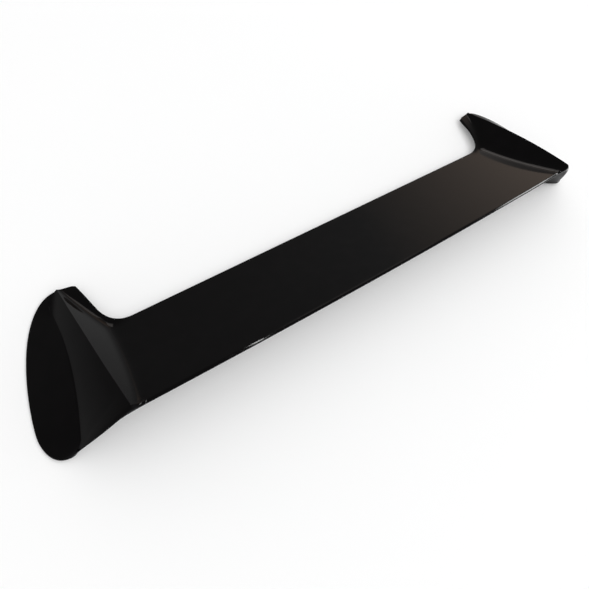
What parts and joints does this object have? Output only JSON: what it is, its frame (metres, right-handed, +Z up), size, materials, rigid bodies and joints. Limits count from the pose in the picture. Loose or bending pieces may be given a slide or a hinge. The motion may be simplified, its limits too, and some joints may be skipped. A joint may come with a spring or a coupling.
{
  "type": "trunk spoiler",
  "caption": "Wide moulded deck spoiler with a ramped blade and swept ends whose ridges run forward into blunt legs with leaf-shaped side flanges.",
  "frame": {"origin": "middle of the part's footprint, on the ground plane that the outer rims and the end bosses rest on", "axes": "+X across the car along the blade, +Y towards the cabin (the leg tips), +Z up"},
  "size_m": [1.24, 0.2554, 0.124],
  "materials": {
    "gloss_black": "high-gloss black paint on moulded plastic",
    "insert_brass": "satin",
    "foam_tape": "matte foam"
  },
  "bodies": {
    "root": {"spoiler_body": "gloss_black", "threaded_inserts": "insert_brass", "front_tape": "foam_tape"}
  },
  "joints": []
}
